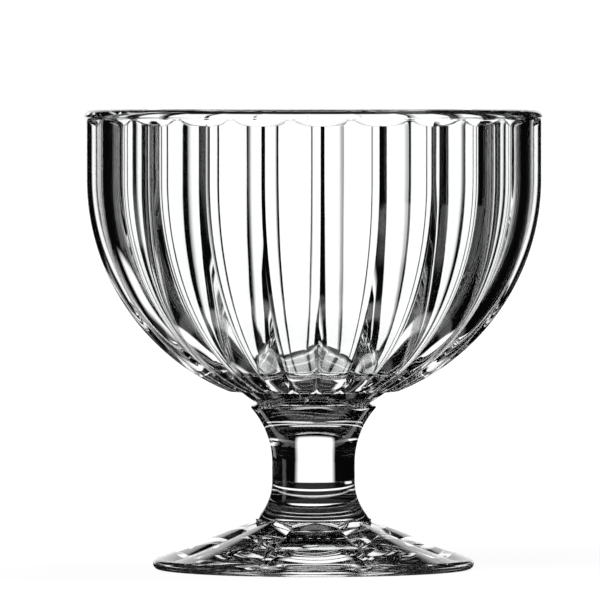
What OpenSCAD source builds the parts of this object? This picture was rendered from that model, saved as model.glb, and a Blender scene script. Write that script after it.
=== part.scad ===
// Low footed dessert glass of clear pressed glass: a lobed bowl on a joining disc, a waisted stem
// and a petalled foot. Lengths are in millimetres. The glass stands on z = 0, with its axis on Z.

/* [Bowl] */
// Diameter over the lip
rim_d = 106; // [100:0.5:112]
// Height of the bowl, from the joining disc to the top of the lip
bowl_h = 65; // [60:0.5:70]
// Height of the straight wall above the round belly, with the lip
wall_h = 16; // [13:0.5:20]
// Diameter at which the lobes end on the flat underside
toe_d = 39.4; // [38:0.2:42]
// Number of lobes round the bowl
lobe_count = 24; // [16:1:28]
// Depth of the valleys between the lobes, at the belly
lobe_depth = 1.4; // [1:0.1:2.2]
// Height over which a valley runs out under the band
valley_run = 2.8; // [1.6:0.1:4]
// Length over which a valley runs out at the underside
toe_run = 3.5; // [2:0.1:5]

/* [Lip and thickness] */
// Thickness of the wall at the lip
lip_t = 4.2; // [3.6:0.1:5]
// Height of the rounding on the lip
lip_h = 1.8; // [1.2:0.1:2.4]
// Height of the plain band between the lip and the lobes
band_h = 0.9; // [0.5:0.1:2]
// How far the band and the crests of the lobes lie inside the lip
lip_step = 0.3; // [0.1:0.1:0.6]
// Glass in the middle of the floor of the bowl
floor_t = 6; // [4:0.1:7]

/* [Joining disc] */
// Diameter of the disc where the bowl sits on it
disc_d = 34; // [31:0.2:37]
// Diameter of the neck where the disc meets the stem
neck_d = 26; // [24:0.2:28]
// Height of the disc
disc_h = 2.8; // [2:0.1:4]

/* [Stem] */
// Height of the stem
stem_h = 27; // [24:0.2:34]
// Diameter of the waist
waist_d = 19.2; // [17:0.2:21]
// Diameter of the sharp collar at the top
collar_d = 29; // [28.4:0.2:31]
// Height of the slope from the edge of the collar in to the neck
collar_slope_h = 0.6; // [0.3:0.1:1.2]
// Thickness of the edge of the collar
collar_lip_h = 0.4; // [0.2:0.1:0.8]
// Radius of the hollow flare below the collar
collar_flare_r = 19; // [12:0.5:22]
// Diameter of the base of the stem
base_d = 26.6; // [25:0.2:28]
// Radius of the hollow flare above the base
base_flare_r = 12; // [8:0.5:14]
// Thickness of the edge of the base
base_lip_h = 0.4; // [0.2:0.1:1.4]

/* [Foot] */
// Diameter of the foot
foot_d = 74; // [68:0.5:82]
// Height of the foot, from the table to the stem
foot_h = 11.2; // [9.5:0.1:13]
// Thickness of the rounded edge
edge_t = 2.4; // [1.8:0.1:3.2]
// Number of petals on the slope
petal_count = 8; // [6:1:12]
// Depth of the valleys between the petals
petal_depth = 0.9; // [0.4:0.1:1.2]
// Length over which a petal rounds down to the stem
petal_run = 2; // [1:0.1:4]
// Inner diameter of the flat ring that the foot rests on
ring_in_d = 62; // [56:0.5:65]
// Height of the hollow under the foot
hollow_h = 3.6; // [2:0.1:4.6]

/* [Hidden] */

glass_colour = [0.80, 0.88, 0.90, 0.55];

// Levels of the joints between the pieces, measured up from the table
stem_z = foot_h;
disc_z = stem_z + stem_h;
bowl_z = disc_z + disc_h;
glass_h = bowl_z + bowl_h;
belly_z = glass_h - wall_h;

// Mesh counts
cols_per_lobe = 6;
cols_per_petal = 12;
belly_steps = 13;
inside_steps = 9;
lip_steps = 6;
run_steps = 3;
slope_steps = 8;
slope_crowding = 1.6;
round_fn = 96;

// How round a lobe is: the share of a half circle's width that its arc spans
lobe_round_share = 0.88;
petal_round_share = 0.7;

// Height of the arc with a half width of 1, from its crest down to a place at share u of that width
function bow(u, round_share) =
    (1 - sqrt(1 - pow(round_share * u, 2))) / (1 - sqrt(1 - pow(round_share, 2)));

// Rise of a quarter circle that reaches 1 where t reaches 1
function quarter(t) = sqrt(1 - pow(1 - min(1, max(0, t)), 2));

// Share of the half width of a lobe, from 0 on its crest to 1 in its valleys, where valleys are at column 0
function lobe_share(column, cols) = abs(2 * (column % cols) / cols - 1);

// One ring of a loft: a profile point is [radius, height, relief, tilt], and the relief cuts in
// against a normal that leans from straight down at tilt 0 to straight out at tilt 90
function ring(p, count, cols, round_share, phase) = [
    for (c = [0 : count * cols - 1])
        let (a = 360 * c / (count * cols),
             cut = p[2] * bow(lobe_share(c + phase, cols), round_share),
             r = p[0] - cut * sin(p[3]))
        [r * cos(a), r * sin(a), p[1] + cut * cos(p[3])]
];

// Solid skinned over rings that run from the underside to a last point on the axis
module loft(profile, tip_z, count, cols, round_share, phase) {
    around = count * cols;
    rows = len(profile);
    tip = rows * around;
    points = [for (p = profile) each ring(p, count, cols, round_share, phase)];
    sides = [
        for (k = [0 : rows - 2], c = [0 : around - 1])
            let (d = (c + 1) % around, a = k * around, b = a + around)
            each [[a + c, b + c, b + d], [a + c, b + d, a + d]]
    ];
    top = [for (c = [0 : around - 1]) [tip - around + c, tip, tip - around + (c + 1) % around]];
    under = [[for (c = [0 : around - 1]) c]];
    polyhedron(points = concat(points, [[0, 0, tip_z]]), faces = concat(under, sides, top));
}

// Bowl: radii and the half heights of its two ellipses, outside and inside
crest_r = rim_d / 2 - lip_step;
inside_r = rim_d / 2 - lip_t;
toe_r = toe_d / 2;
toe_tilt = asin(toe_r / crest_r);
belly_half_h = (belly_z - bowl_z) / cos(toe_tilt);
inside_half_h = belly_z - bowl_z - floor_t;
band_top_z = glass_h - lip_h;
band_low_z = band_top_z - band_h;
lip_mid_r = rim_d / 2 - lip_t / 2;

// Depth of a valley at a tilt of the belly: it follows the width of the lobe, and runs out at the toe
function belly_relief(tilt) =
    lobe_depth * sin(tilt) * quarter(crest_r * (tilt - toe_tilt) * PI / (180 * toe_run));

bowl_outside = concat(
    [[disc_d / 2, bowl_z, 0, 0]],
    [for (i = [0 : belly_steps])
        let (tilt = toe_tilt + (90 - toe_tilt) * i / belly_steps)
        [crest_r * sin(tilt), belly_z - belly_half_h * cos(tilt), belly_relief(tilt), tilt]],
    [for (i = [run_steps : -1 : 0])
        [crest_r, band_low_z - valley_run * i / run_steps, lobe_depth * quarter(i / run_steps), 90]],
    [[crest_r, band_top_z, 0, 90]]
);
bowl_lip = [
    for (i = [0 : lip_steps])
        let (a = 180 * i / lip_steps)
        [lip_mid_r + lip_t / 2 * cos(a), band_top_z + lip_h * sin(a), 0, 90]
];
bowl_inside = [
    for (i = [0 : inside_steps - 1])
        let (tilt = 90 * (1 - i / inside_steps))
        [inside_r * sin(tilt), belly_z - inside_half_h * cos(tilt), 0, tilt]
];

module bowl() {
    color(glass_colour)
        loft(concat(bowl_outside, bowl_lip, bowl_inside), belly_z - inside_half_h,
            lobe_count, cols_per_lobe, lobe_round_share, 0);
}

// Joining disc: a slice of a ball, whose middle lies above the neck by disc_ball_z
disc_r = disc_d / 2;
neck_r = neck_d / 2;
disc_ball_z = (pow(disc_r, 2) - pow(neck_r, 2) + pow(disc_h, 2)) / (2 * disc_h);
disc_ball_r = sqrt(pow(neck_r, 2) + pow(disc_ball_z, 2));

module joining_disc() {
    color(glass_colour)
        translate([0, 0, disc_z])
            intersection() {
                translate([0, 0, disc_ball_z]) sphere(r = disc_ball_r, $fn = round_fn);
                cylinder(r = disc_r, h = disc_h, $fn = round_fn);
            }
}

// Stem: the flares start where their arcs leave the straight waist
waist_r = waist_d / 2;
collar_r = collar_d / 2;
base_r = base_d / 2;
collar_z = stem_h - collar_slope_h;

// Height over which an arc of radius r moves out by a given width
function flare_h(r, width) = sqrt(2 * r * width - pow(width, 2));

collar_flare_z = collar_z - collar_lip_h - flare_h(collar_flare_r, collar_r - waist_r);
base_flare_z = base_lip_h + flare_h(base_flare_r, base_r - waist_r);

// What a hollow flare takes away: a quarter disc above or below the level where it leaves the waist
module flare_cut(r, level, up) {
    translate([waist_r + r, level])
        intersection() {
            circle(r = r, $fn = round_fn);
            translate([-r, up ? 0 : -r]) square([r, r]);
        }
}

// Blank of the stem: its base, its sharp collar and the slope in to the neck
module stem_blank() {
    middle_z = (base_flare_z + collar_flare_z) / 2;
    polygon([
        [0, 0],
        [base_r, 0],
        [base_r, middle_z],
        [collar_r, middle_z],
        [collar_r, collar_z],
        [neck_r, stem_h],
        [0, stem_h]
    ]);
}

module stem() {
    color(glass_colour)
        translate([0, 0, stem_z])
            rotate_extrude($fn = round_fn)
                difference() {
                    stem_blank();
                    flare_cut(collar_flare_r, collar_flare_z, true);
                    flare_cut(base_flare_r, base_flare_z, false);
                    translate([waist_r, base_flare_z])
                        square([collar_r, collar_flare_z - base_flare_z]);
                }
}

// Foot: a slope that leaves the base of the stem and touches the round edge
foot_r = foot_d / 2;
edge_r = edge_t / 2;
edge_mid_r = foot_r - edge_r;
slope_reach = norm([edge_mid_r - base_r, foot_h - edge_r]);
slope_tilt = atan2(foot_h - edge_r, edge_mid_r - base_r) - asin(edge_r / slope_reach);
slope_end_r = edge_mid_r + edge_r * sin(slope_tilt);
slope_end_z = edge_r + edge_r * cos(slope_tilt);
slope_l = (slope_end_r - base_r) / cos(slope_tilt);
hollow_ball_r = (pow(ring_in_d / 2, 2) + pow(hollow_h, 2)) / (2 * hollow_h);

// Depth of a petal's valley at share t of the slope: it runs out at the stem and at the edge
function petal_relief(t) = petal_depth * quarter(t * slope_l / petal_run) * quarter((1 - t) * 2);

foot_profile = concat(
    [[edge_mid_r, 0, 0, 0]],
    [for (a = [-60 : 30 : 90 - slope_tilt - 15])
        [edge_mid_r + edge_r * cos(a), edge_r + edge_r * sin(a), 0, 90]],
    [for (i = [slope_steps : -1 : 0])
        let (t = pow(i / slope_steps, slope_crowding))
        [base_r + (slope_end_r - base_r) * t, foot_h + (slope_end_z - foot_h) * t,
         petal_relief(t), 180 - slope_tilt]]
);

module foot() {
    color(glass_colour)
        difference() {
            loft(foot_profile, foot_h, petal_count, cols_per_petal, petal_round_share,
                cols_per_petal / 2);
            translate([0, 0, hollow_h - hollow_ball_r]) sphere(r = hollow_ball_r, $fn = round_fn);
        }
}

bowl();
joining_disc();
stem();
foot();
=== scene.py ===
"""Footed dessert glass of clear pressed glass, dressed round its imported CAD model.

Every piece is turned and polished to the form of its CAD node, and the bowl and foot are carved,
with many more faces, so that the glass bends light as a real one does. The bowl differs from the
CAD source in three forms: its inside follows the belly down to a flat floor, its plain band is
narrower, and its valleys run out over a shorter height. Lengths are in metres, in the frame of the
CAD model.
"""

import logging
import math
from dataclasses import dataclass
from enum import Enum

import bpy
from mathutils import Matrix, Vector
from mathutils.kdtree import KDTree

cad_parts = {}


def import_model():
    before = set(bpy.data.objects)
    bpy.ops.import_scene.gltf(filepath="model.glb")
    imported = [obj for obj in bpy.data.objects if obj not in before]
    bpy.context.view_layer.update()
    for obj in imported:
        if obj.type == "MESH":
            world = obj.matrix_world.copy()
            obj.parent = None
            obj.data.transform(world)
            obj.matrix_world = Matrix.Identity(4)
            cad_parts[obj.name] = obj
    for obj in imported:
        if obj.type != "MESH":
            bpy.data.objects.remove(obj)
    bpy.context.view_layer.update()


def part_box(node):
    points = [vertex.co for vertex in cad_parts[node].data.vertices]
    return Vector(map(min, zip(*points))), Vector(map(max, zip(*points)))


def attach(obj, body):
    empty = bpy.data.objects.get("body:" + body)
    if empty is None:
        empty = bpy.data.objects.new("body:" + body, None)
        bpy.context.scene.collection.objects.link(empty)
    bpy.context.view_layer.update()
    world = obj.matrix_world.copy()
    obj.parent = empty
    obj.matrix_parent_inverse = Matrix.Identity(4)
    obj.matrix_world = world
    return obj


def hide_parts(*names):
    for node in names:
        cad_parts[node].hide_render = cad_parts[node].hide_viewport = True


MM = 0.001
LOG = logging.getLogger("dessert_glass")

# Distance within which two corners of a mesh are one
WELD = 0.002 * MM
# Distance from the level of a joint within which a face lies in it
FLUSH = 0.02 * MM
# Angle between two faces above which their edge stays sharp
SHARP_DEG = 25
# Length past which paper on the table reaches the horizon, as the glass shows it
HORIZON = 1.0

# One place on the outline of a turned piece: radius, height and share of the full relief
Place = tuple[float, float, float]
# What goes into a node: a number, or what another node gives
Value = float | bpy.types.NodeSocket


class Skin(Enum):
    """What a face of a piece is: open to the air, or fused to the next piece."""

    OPEN = 0
    FUSED = 1


class Sum(Enum):
    """What a Math node works out."""

    ADD = "ADD"
    SUBTRACT = "SUBTRACT"
    MULTIPLY = "MULTIPLY"
    MULTIPLY_ADD = "MULTIPLY_ADD"
    DIVIDE = "DIVIDE"
    MAXIMUM = "MAXIMUM"
    ABSOLUTE = "ABSOLUTE"
    ARCSINE = "ARCSINE"
    ARCTAN2 = "ARCTAN2"


# Shaping by hand


def clear_selection() -> None:
    """Leave no object selected, so that the next operator acts on the new one alone."""
    bpy.ops.object.select_all(action="DESELECT")


def pick(piece: bpy.types.Object) -> None:
    """Make a piece the only one that the next operator acts on.

    Args:
        piece: The piece to select and make active.
    """
    clear_selection()
    piece.select_set(True)
    bpy.context.view_layer.objects.active = piece


def arc_drop(share: float, roundness: float) -> float:
    """Height of an arc from its crest down to a place beside it.

    Args:
        share: Place on the half width of the arc, 0 on the crest and 1 at its end.
        roundness: Share of a half circle's width that the arc spans.

    Returns:
        The drop, which is 1 at the end of the arc.
    """
    return (1 - math.sqrt(1 - (roundness * share) ** 2)) / (1 - math.sqrt(1 - roundness**2))


def quarter(share: float) -> float:
    """Rise of a quarter circle that reaches 1 where the share reaches 1."""
    return math.sqrt(1 - (1 - min(1.0, max(0.0, share))) ** 2)


def steps(count: int) -> list[float]:
    """Shares from just above 0 up to 1 in equal steps."""
    return [(i + 1) / count for i in range(count)]


def turned(name: str, outline: list[Place], sectors: int, columns: int) -> bpy.types.Object:
    """Spin an outline into one sector, and copy that round the axis into a closed solid.

    Args:
        name: Name of the new piece.
        outline: Places from the axis on the underside to the axis on the top side.
        sectors: Number of sectors in the full turn.
        columns: Number of steps in a sector.

    Returns:
        The new piece, whose faces point outwards.
    """
    clear_selection()
    first = Vector((outline[0][0], 0, outline[0][1]))
    bpy.ops.mesh.primitive_plane_add(size=MM, location=first)
    piece = bpy.context.object
    piece.name = piece.data.name = name
    bpy.ops.object.transform_apply(location=True, rotation=False, scale=False)
    bpy.ops.object.mode_set(mode="EDIT")
    bpy.ops.mesh.select_all(action="SELECT")
    bpy.ops.mesh.merge(type="CENTER")
    here = first
    for radius, height, _ in outline[1:]:
        there = Vector((radius, 0, height))
        bpy.ops.mesh.extrude_vertices_move(TRANSFORM_OT_translate={"value": there - here})
        here = there
    bpy.ops.mesh.select_all(action="SELECT")
    sector = math.tau / sectors
    bpy.ops.mesh.spin(steps=columns, angle=sector, center=(0, 0, 0), axis=(0, 0, 1))
    bpy.ops.mesh.select_all(action="SELECT")
    for _ in range(sectors - 1):
        bpy.ops.mesh.duplicate()
        bpy.ops.transform.rotate(value=sector, orient_axis="Z", center_override=(0, 0, 0))
    bpy.ops.mesh.select_all(action="SELECT")
    bpy.ops.mesh.remove_doubles(threshold=WELD)
    bpy.ops.mesh.normals_make_consistent(inside=False)
    bpy.ops.object.mode_set(mode="OBJECT")
    LOG.info("turned %s", name)
    return piece


def carve(piece: bpy.types.Object, outline: list[Place], count: int, roundness: float,
          depth: float, turn: float) -> None:
    """Sink valleys between rounded ribs that run from the underside to the top.

    Args:
        piece: A turned piece.
        outline: The outline it was turned from, with the relief of each place.
        count: Number of ribs round the piece.
        roundness: Share of a half circle's width that a rib's arc spans.
        depth: Full depth of a valley.
        turn: Share of a rib by which the first valley is turned from the X axis.
    """
    tree = KDTree(len(outline))
    for index, (radius, height, _) in enumerate(outline):
        tree.insert((radius, height, 0), index)
    tree.balance()
    group = piece.vertex_groups.new(name="valleys")
    for vertex in piece.data.vertices:
        x, y, z = vertex.co
        relief = outline[tree.find((math.hypot(x, y), z, 0))[1]][2]
        if relief > 0:
            share = (math.atan2(y, x) / math.tau * count + turn) % 1.0
            weight = relief * arc_drop(abs(2 * share - 1), roundness)
            group.add([vertex.index], weight, "REPLACE")
    cut = piece.modifiers.new("valleys", "DISPLACE")
    cut.vertex_group = group.name
    cut.mid_level = 0
    cut.strength = -depth
    pick(piece)
    bpy.ops.object.modifier_apply(modifier=cut.name)
    piece.vertex_groups.remove(piece.vertex_groups[0])
    LOG.info("carved %s", piece.name)


def polish(piece: bpy.types.Object) -> None:
    """Shade a finished mesh smooth, with its sharp edges kept."""
    pick(piece)
    bpy.ops.object.shade_smooth_by_angle(angle=math.radians(SHARP_DEG))


def fuse(piece: bpy.types.Object, level: float, radius: float) -> None:
    """Give the fused skin to the flat disc in which a piece meets the next one.

    Args:
        piece: A piece that has both skins as its material slots.
        level: Height of the joint.
        radius: Radius of the joint.
    """
    for face in piece.data.polygons:
        flat = all(abs(piece.data.vertices[v].co.z - level) < FLUSH for v in face.vertices)
        if flat and math.hypot(face.center.x, face.center.y) < radius:
            face.material_index = Skin.FUSED.value


# Finishes


@dataclass(frozen=True)
class PressedGlass:
    """Clear soda-lime glass: faintly uneven from the mould, and fire-polished.

    The melt tint is a shade of green that comes and goes in the glass. Ripples lie in the cooled
    skin, and finer streaks are drawn up the wall by the plunger.
    """

    name: str = "clear_glass"
    ior: float = 1.52
    roughness: float = 0.0
    melt_tint: tuple[float, float, float, float] = (0.975, 0.990, 0.985, 1)
    melt_per_m: float = 18.0
    melt_detail: float = 2.0
    ripple_per_m: float = 95.0
    ripple_height: float = 0.010 * MM
    streak_per_m: float = 260.0
    streak_height: float = 0.004 * MM
    streak_squeeze: tuple[float, float, float] = (1, 1, 0.12)
    skin_detail: float = 1.0

    def noise(self, tree: bpy.types.NodeTree, place: bpy.types.NodeSocket, per_m: float,
              detail: float) -> bpy.types.NodeSocket:
        """Add a noise over the places of a piece.

        Args:
            tree: Node tree of the glass.
            place: Place on the piece.
            per_m: How many of its waves lie in a metre.
            detail: How many finer waves lie on them.

        Returns:
            The value of the noise, from 0 to 1.
        """
        node = tree.nodes.new("ShaderNodeTexNoise")
        node.inputs["Scale"].default_value = per_m
        node.inputs["Detail"].default_value = detail
        tree.links.new(place, node.inputs["Vector"])
        return node.outputs["Fac"]

    def bump(self, tree: bpy.types.NodeTree, noise: bpy.types.NodeSocket, height: float
             ) -> bpy.types.Node:
        """Add a bump that a noise drives.

        Args:
            tree: Node tree of the glass.
            noise: The noise that lifts the skin.
            height: How far it lifts the skin.

        Returns:
            The node, whose own normal is still free.
        """
        node = tree.nodes.new("ShaderNodeBump")
        node.inputs["Distance"].default_value = height
        tree.links.new(noise, node.inputs["Height"])
        return node

    def make(self) -> bpy.types.Material:
        """Build the glass as a node material.

        Returns:
            The new material.
        """
        material = bpy.data.materials.new(self.name)
        material.use_nodes = True
        tree = material.node_tree
        nodes, links = tree.nodes, tree.links
        shader = nodes["Principled BSDF"]
        shader.inputs["Roughness"].default_value = self.roughness
        shader.inputs["IOR"].default_value = self.ior
        shader.inputs["Transmission Weight"].default_value = 1.0
        place = nodes.new("ShaderNodeTexCoord").outputs["Object"]

        melt = self.noise(tree, place, self.melt_per_m, self.melt_detail)
        tint = nodes.new("ShaderNodeValToRGB")
        tint.color_ramp.elements[0].color = self.melt_tint
        tint.color_ramp.elements[1].color = (1, 1, 1, 1)
        links.new(melt, tint.inputs["Fac"])
        links.new(tint.outputs["Color"], shader.inputs["Base Color"])

        squeeze = nodes.new("ShaderNodeMapping")
        squeeze.inputs["Scale"].default_value = self.streak_squeeze
        links.new(place, squeeze.inputs["Vector"])
        ripple = self.noise(tree, place, self.ripple_per_m, self.skin_detail)
        streak = self.noise(tree, squeeze.outputs["Vector"], self.streak_per_m, self.skin_detail)
        lower = self.bump(tree, ripple, self.ripple_height)
        upper = self.bump(tree, streak, self.streak_height)
        links.new(lower.outputs["Normal"], upper.inputs["Normal"])
        links.new(upper.outputs["Normal"], shader.inputs["Normal"])
        return material


@dataclass(frozen=True)
class FusedSeam:
    """The joint inside the glass, where two pieces were fused hot and light passes straight on."""

    name: str = "fused_seam"

    def make(self) -> bpy.types.Material:
        """Build the seam as a node material that leaves light as it is.

        Returns:
            The new material.
        """
        material = bpy.data.materials.new(self.name)
        material.use_nodes = True
        nodes, links = material.node_tree.nodes, material.node_tree.links
        nodes.remove(nodes["Principled BSDF"])
        clear = nodes.new("ShaderNodeBsdfTransparent")
        links.new(clear.outputs["BSDF"], nodes["Material Output"].inputs["Surface"])
        return material


@dataclass(frozen=True)
class Finishes:
    """The two skins that every piece of the glass has."""

    glass: bpy.types.Material
    seam: bpy.types.Material

    def dress(self, piece: bpy.types.Object, joints: list[tuple[float, float]]) -> None:
        """Lay the glass on a piece, and the fused skin on its joints.

        Args:
            piece: The piece to dress.
            joints: Height and radius of each flat joint.
        """
        piece.data.materials.clear()
        piece.data.materials.append(self.glass)
        piece.data.materials.append(self.seam)
        for level, radius in joints:
            fuse(piece, level, radius)


# Pieces


@dataclass
class GlassPiece:
    """What all the pieces share: the CAD node that each stands for, and its finishes."""

    node: str
    finishes: Finishes

    def limits(self) -> tuple[float, float, float]:
        """Lowest height, highest height and largest radius of the CAD node."""
        low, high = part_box(self.node)
        return low.z, high.z, high.x

    def settle(self, piece: bpy.types.Object, joints: list[tuple[float, float]]
               ) -> bpy.types.Object:
        """Dress a finished piece and put it on the body of the glass.

        Args:
            piece: The finished mesh.
            joints: Height and radius of each flat joint with another piece.

        Returns:
            The same piece.
        """
        self.finishes.dress(piece, joints)
        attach(piece, "root")
        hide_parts(self.node)
        LOG.info("%s: %d faces", piece.name, len(piece.data.polygons))
        return piece


@dataclass
class Bowl(GlassPiece):
    """Open bowl with rounded lobes that run out under a plain band and at the toe."""

    wall_h: float = 16 * MM
    toe_r: float = 19.7 * MM
    joint_r: float = 17 * MM
    lobe_count: int = 24
    lobe_depth: float = 1.4 * MM
    lobe_roundness: float = 0.88
    valley_run: float = 1.6 * MM
    toe_run: float = 3.5 * MM
    lip_t: float = 4.2 * MM
    lip_h: float = 1.8 * MM
    band_h: float = 0.5 * MM
    lip_step: float = 0.3 * MM
    floor_t: float = 6.0 * MM
    floor_round: float = 8.0 * MM
    columns_per_lobe: int = 14
    joint_steps: int = 2
    belly_steps: int = 96
    belly_crowding: float = 1.15
    outer_wall_steps: int = 14
    run_steps: int = 16
    lip_steps: int = 26
    inner_wall_steps: int = 10
    ball_steps: int = 60
    round_steps: int = 14
    floor_steps: int = 8

    def outside(self) -> list[Place]:
        """Outline of the underside, the belly and the band.

        Returns:
            The places from the axis up to the middle of the band.
        """
        low, top, rim_r = self.limits()
        belly_z = top - self.wall_h
        crest_r = rim_r - self.lip_step
        toe_tilt = math.asin(self.toe_r / crest_r)
        half_h = (belly_z - low) / math.cos(toe_tilt)
        line: list[Place] = [(self.joint_r * share, low, 0)
                             for share in [0.0, *steps(self.joint_steps)]]
        for share in [0.0, *steps(self.belly_steps)]:
            tilt = toe_tilt + (math.pi / 2 - toe_tilt) * share**self.belly_crowding
            relief = math.sin(tilt) * quarter(crest_r * (tilt - toe_tilt) / self.toe_run)
            line.append((crest_r * math.sin(tilt), belly_z - half_h * math.cos(tilt), relief))
        band_z = top - self.lip_h - self.band_h
        run_z = band_z - self.valley_run
        line += [(crest_r, belly_z + (run_z - belly_z) * share, 1)
                 for share in steps(self.outer_wall_steps)]
        line += [(crest_r, run_z + self.valley_run * share, quarter(1 - share))
                 for share in steps(self.run_steps)]
        return [*line, (crest_r, band_z + self.band_h / 2, 0)]

    def lip(self) -> list[Place]:
        """Outline of the fire-polished lip.

        Returns:
            The places from the band over to the inner wall.
        """
        _, top, rim_r = self.limits()
        half = self.lip_t / 2
        line = []
        for share in [0.0, *steps(self.lip_steps)]:
            angle = math.pi * share
            line.append((rim_r - half + half * math.cos(angle),
                         top - self.lip_h + self.lip_h * math.sin(angle), 0))
        return line

    def inside(self) -> list[Place]:
        """Outline of the smooth inside: the wall, a ball beside the belly, and a flat floor.

        Returns:
            The places from the lip down to the axis.
        """
        low, top, rim_r = self.limits()
        belly_z = top - self.wall_h
        lip_z = top - self.lip_h
        ball_r = rim_r - self.lip_t
        # Middle of the round between the ball and the floor: below that of the ball, and off the axis
        down = belly_z - low - self.floor_t - self.floor_round
        mid_r = math.sqrt((ball_r - self.floor_round) ** 2 - down**2)
        tilt = math.atan2(mid_r, down)
        line = [(ball_r, lip_z + (belly_z - lip_z) * share, 0)
                for share in steps(self.inner_wall_steps)]
        for share in steps(self.ball_steps):
            angle = math.pi / 2 + (tilt - math.pi / 2) * share
            line.append((ball_r * math.sin(angle), belly_z - ball_r * math.cos(angle), 0))
        for share in steps(self.round_steps):
            angle = tilt * (1 - share)
            line.append((mid_r + self.floor_round * math.sin(angle),
                         belly_z - down - self.floor_round * math.cos(angle), 0))
        return line + [(mid_r * (1 - share), low + self.floor_t, 0)
                       for share in steps(self.floor_steps)]

    def build(self) -> bpy.types.Object:
        """Turn the bowl, carve its lobes and polish it.

        Returns:
            The finished bowl.
        """
        outline = self.outside() + self.lip() + self.inside()
        piece = turned("glass_bowl", outline, self.lobe_count, self.columns_per_lobe)
        carve(piece, outline, self.lobe_count, self.lobe_roundness, self.lobe_depth, 0.0)
        polish(piece)
        return self.settle(piece, [(self.limits()[0], self.joint_r)])


@dataclass
class JoiningDisc(GlassPiece):
    """Slice of a ball of glass between the bowl and the neck of the stem."""

    neck_r: float = 13 * MM
    side_steps: int = 24
    sectors: int = 16
    columns: int = 12

    def build(self) -> bpy.types.Object:
        """Turn the disc with its rounded side.

        Returns:
            The finished disc.
        """
        low, high, disc_r = self.limits()
        height = high - low
        ball_z = (disc_r**2 - self.neck_r**2 + height**2) / (2 * height)
        ball_r = math.hypot(self.neck_r, ball_z)
        side = [(math.sqrt(ball_r**2 - (ball_z - height * share) ** 2), low + height * share, 0)
                for share in steps(self.side_steps)]
        outline = [(0, low, 0), (self.neck_r, low, 0), *side, (0, high, 0)]
        piece = turned("glass_joining_disc", outline, self.sectors, self.columns)
        polish(piece)
        return self.settle(piece, [(low, self.neck_r), (high, disc_r)])


@dataclass
class Stem(GlassPiece):
    """Solid waisted stem with a sharp collar above and a flared base below."""

    waist_r: float = 9.6 * MM
    neck_r: float = 13 * MM
    base_r: float = 13.3 * MM
    collar_slope_h: float = 0.6 * MM
    collar_lip_h: float = 0.4 * MM
    base_lip_h: float = 0.4 * MM
    collar_flare_r: float = 19 * MM
    base_flare_r: float = 12 * MM
    flare_steps: int = 36
    sectors: int = 16
    columns: int = 16

    def flare(self, end_r: float, end_z: float, flare_r: float, up: bool) -> list[Place]:
        """Outline of a hollow flare, from the waist out to its edge.

        Args:
            end_r: Radius of the edge.
            end_z: Height of the edge.
            flare_r: Radius of the hollow.
            up: Whether the edge lies above the waist.

        Returns:
            The places from the waist to the edge.
        """
        width = end_r - self.waist_r
        height = math.sqrt(2 * flare_r * width - width**2)
        whole = math.asin(height / flare_r)
        start_z = end_z - height if up else end_z + height
        line = []
        for share in [0.0, *steps(self.flare_steps)]:
            rise = flare_r * math.sin(whole * share)
            line.append((self.waist_r + flare_r * (1 - math.cos(whole * share)),
                         start_z + (rise if up else -rise), 0.0))
        return line

    def build(self) -> bpy.types.Object:
        """Turn the stem.

        Returns:
            The finished stem.
        """
        low, high, collar_r = self.limits()
        collar_z = high - self.collar_slope_h
        lower = self.flare(self.base_r, low + self.base_lip_h, self.base_flare_r, False)
        upper = self.flare(collar_r, collar_z - self.collar_lip_h, self.collar_flare_r, True)
        outline = [(0, low, 0), (self.base_r, low, 0), *reversed(lower), *upper,
                   (collar_r, collar_z, 0), (self.neck_r, high, 0), (0, high, 0)]
        piece = turned("glass_stem", outline, self.sectors, self.columns)
        polish(piece)
        return self.settle(piece, [(low, self.base_r), (high, self.neck_r)])


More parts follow.
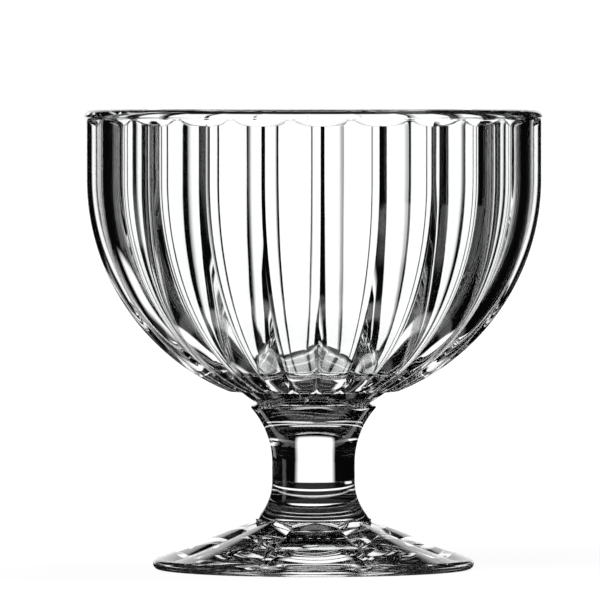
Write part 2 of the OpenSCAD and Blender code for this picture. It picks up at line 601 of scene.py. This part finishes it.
@dataclass
class Foot(GlassPiece):
    """Petalled cone with a rounded edge, a flat ring to stand on and a hollow underneath."""

    base_r: float = 13.3 * MM
    edge_t: float = 2.4 * MM
    petal_count: int = 8
    petal_depth: float = 0.9 * MM
    petal_run: float = 2 * MM
    edge_run_share: float = 0.5
    petal_roundness: float = 0.7
    petal_turn: float = 0.5
    ring_in_r: float = 31 * MM
    hollow_h: float = 3.6 * MM
    columns_per_petal: int = 48
    hollow_steps: int = 36
    edge_steps: int = 24
    slope_steps: int = 70
    slope_crowding: float = 1.4

    def underside(self) -> list[Place]:
        """Outline of the hollow under the foot.

        Returns:
            The places from the middle of the hollow out to the flat ring.
        """
        ball_r = (self.ring_in_r**2 + self.hollow_h**2) / (2 * self.hollow_h)
        line = []
        for share in [0.0, *steps(self.hollow_steps)[:-1]]:
            radius = self.ring_in_r * share
            line.append((radius, self.hollow_h - ball_r + math.sqrt(ball_r**2 - radius**2), 0))
        return [*line, (self.ring_in_r, 0, 0)]

    def top_side(self) -> list[Place]:
        """Outline of the edge and of the slope up to the stem.

        Returns:
            The places from the flat ring, round the edge, up to the base of the stem.
        """
        _, top, foot_r = self.limits()
        edge_r = self.edge_t / 2
        mid_r = foot_r - edge_r
        reach = math.hypot(mid_r - self.base_r, top - edge_r)
        tilt = math.atan2(top - edge_r, mid_r - self.base_r) - math.asin(edge_r / reach)
        line = []
        for share in [0.0, *steps(self.edge_steps)]:
            angle = -math.pi / 2 + (math.pi - tilt) * share
            line.append((mid_r + edge_r * math.cos(angle), edge_r + edge_r * math.sin(angle), 0))
        end_r, end_z, _ = line[-1]
        length = (end_r - self.base_r) / math.cos(tilt)
        for share in steps(self.slope_steps):
            along = (1 - share) ** self.slope_crowding
            relief = (quarter(along * length / self.petal_run)
                      * quarter((1 - along) / self.edge_run_share))
            line.append((self.base_r + (end_r - self.base_r) * along,
                         top + (end_z - top) * along, relief))
        return line

    def build(self) -> bpy.types.Object:
        """Turn the foot, carve its petals and polish it.

        Returns:
            The finished foot.
        """
        _, top, _ = self.limits()
        outline = self.underside() + self.top_side() + [(0, top, 0)]
        piece = turned("glass_foot", outline, self.petal_count, self.columns_per_petal)
        carve(piece, outline, self.petal_count, self.petal_roundness, self.petal_depth,
              self.petal_turn)
        polish(piece)
        return self.settle(piece, [(top, self.base_r)])


# Studio


@dataclass(frozen=True)
class Look:
    """A direction in which the glass is looked through, with white paper behind it.

    The paper is a wedge on the table that widens away from the viewer. Where it reaches the
    horizon, a card goes on up from it. Up to a distance called near, only a share of it is white.
    """

    heading_deg: float
    half_deg: float
    near: float
    near_share: float
    reach: float

    @property
    def reaches_horizon(self) -> bool:
        """Whether the wedge goes on up as a card."""
        return self.reach > HORIZON


@dataclass(frozen=True)
class Ring:
    """A white paper ring on the table round the foot."""

    inner: float
    outer: float
    share: float


@dataclass(frozen=True)
class Lamp:
    """A soft square lamp above the table."""

    name: str
    spot: tuple[float, float, float]
    size: float
    power: float


@dataclass
class Studio:
    """Pale table, white background, soft lamps and the camera at the photograph's angle.

    The camera sees white. Light that the glass bends or mirrors sees white paper behind the glass
    and round its foot, and dark elsewhere, which gives clear glass its light and dark bands.
    """

    # Camera, level with the lip
    glass_axis_right: float = 3.1 * MM
    aim_z: float = 62.0 * MM
    camera_far: float = 2.0
    camera_z: float = 0.110
    camera_turn_deg: float = -1.8
    frame_width: float = 138.4 * MM
    sensor: float = 36.0
    clip: tuple[float, float] = (0.1, 60.0)

    # White paper, and how soft its edges are
    looks: tuple[Look, ...] = (
        Look(0, 20.5, 0.26, 0.02, 12), Look(90, 9, 0.2, 0.02, 12),
        Look(45, 12, 0.12, 0.02, 0.3), Look(225, 12, 0.12, 0.02, 0.5))
    rings: tuple[Ring, ...] = (Ring(19 * MM, 31 * MM, 0.9), Ring(58 * MM, 78 * MM, 1.0))
    glow: float = 1.25
    dark: float = 0.002
    card_top_deg: float = 30.0
    card_blur_deg: float = 5.0
    near_blur: float = 0.03
    reach_blur: float = 0.05
    ring_blur: float = 4 * MM

    # Table, which is partly painted, so that it takes a shadow, and partly glows
    table_size: float = 16.0
    table_gap: float = 0.05 * MM
    table_glow: float = 1.15
    table_grey: float = 0.82
    table_roughness: float = 0.9
    painted_share: float = 0.2
    painted_near: float = 0.06
    painted_fade: float = 0.5

    lamps: tuple[Lamp, ...] = (Lamp("key", (-0.8, -0.9, 1.4), 0.9, 16.0),
                               Lamp("fill", (0.9, 0.3, 1.5), 1.1, 10.0))
    lamp_aim: tuple[float, float, float] = (0, 0, 0.06)

    # How often light may be bent, mirrored or let through
    bends: int = 40
    mirrorings: int = 8
    seams: int = 32

    def work_out(self, tree: bpy.types.NodeTree, kind: Sum, *values: Value
                 ) -> bpy.types.NodeSocket:
        """Add a Math node.

        Args:
            tree: Node tree that the node goes into.
            kind: What the node works out.
            values: Numbers or sockets for its inputs.

        Returns:
            The output of the node.
        """
        node = tree.nodes.new("ShaderNodeMath")
        node.operation = kind.value
        for slot, value in zip(node.inputs, values):
            if isinstance(value, (int, float)):
                slot.default_value = value
            else:
                tree.links.new(value, slot)
        return node.outputs[0]

    def ramp(self, tree: bpy.types.NodeTree, high: Value, low: Value, width: float
             ) -> bpy.types.NodeSocket:
        """Compare two values with a soft edge.

        Args:
            tree: Node tree that the nodes go into.
            high: The value that is to be the higher one.
            low: The value that it is compared with.
            width: How much higher it has to be.

        Returns:
            A socket that rises from 0 to 1 as the first value goes past the other.
        """
        node = tree.nodes.new("ShaderNodeClamp")
        over = self.work_out(tree, Sum.SUBTRACT, high, low)
        tree.links.new(self.work_out(tree, Sum.DIVIDE, over, width), node.inputs[0])
        return node.outputs[0]

    def reach_along(self, tree: bpy.types.NodeTree, place: bpy.types.NodeSocket,
                    way: tuple[float, float, float]) -> bpy.types.NodeSocket:
        """How far a place lies along a direction.

        Args:
            tree: Node tree that the node goes into.
            place: Place on the table, or direction of the sky.
            way: The direction, of length 1.

        Returns:
            The distance along it.
        """
        node = tree.nodes.new("ShaderNodeVectorMath")
        node.operation = "DOT_PRODUCT"
        node.inputs[1].default_value = way
        tree.links.new(place, node.inputs[0])
        return node.outputs["Value"]

    def distance(self, tree: bpy.types.NodeTree, place: bpy.types.NodeSocket
                 ) -> bpy.types.NodeSocket:
        """How far a place lies from the middle of the foot.

        Args:
            tree: Node tree that the node goes into.
            place: Place on the table.

        Returns:
            The distance.
        """
        node = tree.nodes.new("ShaderNodeVectorMath")
        node.operation = "LENGTH"
        tree.links.new(place, node.inputs[0])
        return node.outputs["Value"]

    def wedge(self, tree: bpy.types.NodeTree, place: bpy.types.NodeSocket, look: Look
              ) -> bpy.types.NodeSocket:
        """Wedge that opens from the glass in the direction of a look.

        Args:
            tree: Node tree of the world or of the table.
            place: Place on the table, or direction of the sky.
            look: The look that the wedge lies behind.

        Returns:
            A socket that is 1 on the wedge and 0 off it, with a soft edge.
        """
        turn = math.radians(look.heading_deg)
        ahead = self.reach_along(tree, place, (-math.sin(turn), math.cos(turn), 0))
        aside = self.reach_along(tree, place, (math.cos(turn), math.sin(turn), 0))
        off = self.work_out(tree, Sum.ARCTAN2, self.work_out(tree, Sum.ABSOLUTE, aside), ahead)
        return self.ramp(tree, math.radians(look.half_deg), off, math.radians(self.card_blur_deg))

    def laid(self, tree: bpy.types.NodeTree, far: bpy.types.NodeSocket, look: Look
             ) -> bpy.types.NodeSocket:
        """How white the paper of a look is at a distance on the table.

        Args:
            tree: Node tree of the table.
            far: Distance from the glass.
            look: The look that the paper lies behind.

        Returns:
            A socket that rises past the near part, and falls to 0 where the paper ends.
        """
        past = self.ramp(tree, far, look.near, self.near_blur)
        past = self.work_out(tree, Sum.MULTIPLY_ADD, past, 1 - look.near_share, look.near_share)
        short = self.ramp(tree, look.reach, far, self.reach_blur)
        return self.work_out(tree, Sum.MULTIPLY, past, short)

    def ring_paper(self, tree: bpy.types.NodeTree, far: bpy.types.NodeSocket, ring: Ring
                   ) -> bpy.types.NodeSocket:
        """How white a paper ring is at a distance on the table.

        Args:
            tree: Node tree of the table.
            far: Distance from the glass.
            ring: The paper ring.

        Returns:
            A socket that is the ring's share on it and 0 off it, with soft edges.
        """
        outer = self.ramp(tree, ring.outer, far, self.ring_blur)
        inner = self.ramp(tree, far, ring.inner, self.ring_blur)
        both = self.work_out(tree, Sum.MULTIPLY, outer, inner)
        return self.work_out(tree, Sum.MULTIPLY, both, ring.share)

    def papers(self, tree: bpy.types.NodeTree, place: bpy.types.NodeSocket, on_table: bool
               ) -> bpy.types.NodeSocket:
        """All the white paper that the glass shows when light bends through it.

        Args:
            tree: Node tree of the world or of the table.
            place: Place on the table, or direction of the sky.
            on_table: Whether the place lies on the table.

        Returns:
            The glow of the paper, with the dark round it.
        """
        if on_table:
            far = self.distance(tree, place)
            whites = [self.work_out(tree, Sum.MULTIPLY, self.wedge(tree, place, look),
                                    self.laid(tree, far, look)) for look in self.looks]
            whites += [self.ring_paper(tree, far, ring) for ring in self.rings]
        else:
            whites = [self.wedge(tree, place, look) for look in self.looks if look.reaches_horizon]
        total: Value = self.dark / self.glow
        for white in whites:
            total = self.work_out(tree, Sum.MAXIMUM, total, white)
        return self.work_out(tree, Sum.MULTIPLY, total, self.glow)

    def make_world(self) -> None:
        """White to the camera; through the glass, white cards behind it and dark beside them."""
        world = bpy.data.worlds.new("studio")
        bpy.context.scene.world = world
        world.use_nodes = True
        tree = world.node_tree
        light = tree.nodes["Background"]
        light.inputs["Color"].default_value = (1, 1, 1, 1)
        way = tree.nodes.new("ShaderNodeTexCoord").outputs["Generated"]
        split = tree.nodes.new("ShaderNodeSeparateXYZ")
        tree.links.new(way, split.inputs[0])
        rise = self.work_out(tree, Sum.ARCSINE, split.outputs["Z"])
        low = self.ramp(tree, math.radians(self.card_top_deg), rise,
                        math.radians(self.card_blur_deg))
        cards = self.work_out(tree, Sum.MULTIPLY, self.papers(tree, way, False), low)
        lit = self.work_out(tree, Sum.MAXIMUM, cards, self.dark)
        path = tree.nodes.new("ShaderNodeLightPath")
        seen = self.work_out(tree, Sum.MAXIMUM, lit, path.outputs["Is Camera Ray"])
        tree.links.new(seen, light.inputs["Strength"])

    def table_finish(self) -> bpy.types.Material:
        """Build the finish of the table: pale paint, under a glow that makes it white.

        Returns:
            The new material.
        """
        material = bpy.data.materials.new("table")
        material.use_nodes = True
        tree = material.node_tree
        grey = self.table_grey
        paint = tree.nodes["Principled BSDF"]
        paint.inputs["Base Color"].default_value = (grey, grey, grey, 1)
        paint.inputs["Roughness"].default_value = self.table_roughness
        paint.inputs["Specular IOR Level"].default_value = 0.0
        glow = tree.nodes.new("ShaderNodeEmission")
        mix = tree.nodes.new("ShaderNodeMixShader")
        place = tree.nodes.new("ShaderNodeTexCoord").outputs["Object"]
        path = tree.nodes.new("ShaderNodeLightPath")
        bent = self.work_out(tree, Sum.MAXIMUM, path.outputs["Is Glossy Ray"],
                             path.outputs["Is Transmission Ray"])
        plain = self.work_out(tree, Sum.SUBTRACT, 1.0, bent)
        seen = self.work_out(
            tree, Sum.ADD, self.work_out(tree, Sum.MULTIPLY, self.papers(tree, place, True), bent),
            self.work_out(tree, Sum.MULTIPLY, plain, self.table_glow))
        tree.links.new(seen, glow.inputs["Strength"])
        away = self.ramp(tree, self.distance(tree, place), self.painted_near, self.painted_fade)
        glowing = self.work_out(tree, Sum.MULTIPLY_ADD, away, self.painted_share,
                                1 - self.painted_share)
        shown = self.work_out(tree, Sum.MAXIMUM, path.outputs["Is Camera Ray"], bent)
        share = self.work_out(tree, Sum.MULTIPLY,
                              self.work_out(tree, Sum.MAXIMUM, glowing, bent), shown)
        tree.links.new(share, mix.inputs["Fac"])
        tree.links.new(paint.outputs["BSDF"], mix.inputs[1])
        tree.links.new(glow.outputs["Emission"], mix.inputs[2])
        tree.links.new(mix.outputs["Shader"], tree.nodes["Material Output"].inputs["Surface"])
        return material

    def make_floor(self) -> None:
        """Pale table that keeps a soft shadow near the glass and is white further out."""
        clear_selection()
        bpy.ops.mesh.primitive_plane_add(size=self.table_size, location=(0, 0, -self.table_gap))
        floor = bpy.context.object
        floor.name = "table"
        floor.data.materials.append(self.table_finish())

    def make_lamps(self) -> None:
        """Large soft lamps above the table."""
        for plan in self.lamps:
            clear_selection()
            bpy.ops.object.light_add(type="AREA", location=plan.spot)
            lamp = bpy.context.object
            lamp.name = plan.name
            lamp.data.size = plan.size
            lamp.data.energy = plan.power
            lamp.visible_glossy = lamp.visible_transmission = False
            way = Vector(self.lamp_aim) - Vector(plan.spot)
            lamp.rotation_euler = way.to_track_quat("-Z", "Y").to_euler()

    def make_camera(self) -> None:
        """Camera far in front, level with the lip, with a long lens."""
        turn = math.radians(self.camera_turn_deg)
        right = Vector((math.cos(turn), math.sin(turn), 0))
        spot = Vector((self.camera_far * math.sin(turn), -self.camera_far * math.cos(turn),
                       self.camera_z))
        aim = Vector((0, 0, self.aim_z)) - right * self.glass_axis_right
        clear_selection()
        bpy.ops.object.camera_add(location=spot)
        camera = bpy.context.object
        camera.rotation_euler = (aim - spot).to_track_quat("-Z", "Y").to_euler()
        camera.data.sensor_width = self.sensor
        camera.data.lens = self.sensor * (aim - spot).length / self.frame_width
        camera.data.clip_start, camera.data.clip_end = self.clip
        bpy.context.scene.camera = camera

    def build(self) -> None:
        """Set up the whole studio."""
        self.make_world()
        self.make_floor()
        self.make_lamps()
        self.make_camera()
        scene = bpy.context.scene
        scene.view_settings.view_transform = "Standard"
        scene.cycles.max_bounces = scene.cycles.transmission_bounces = self.bends
        scene.cycles.glossy_bounces = self.mirrorings
        scene.cycles.transparent_max_bounces = self.seams


def main() -> None:
    """Build the glass, piece by piece, and the studio."""
    logging.basicConfig(level=logging.INFO, format="%(message)s")
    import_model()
    finishes = Finishes(PressedGlass().make(), FusedSeam().make())
    Foot("foot", finishes).build()
    Stem("stem", finishes).build()
    JoiningDisc("joining_disc", finishes).build()
    Bowl("bowl", finishes).build()
    Studio().build()


if __name__ == "__main__":
    main()
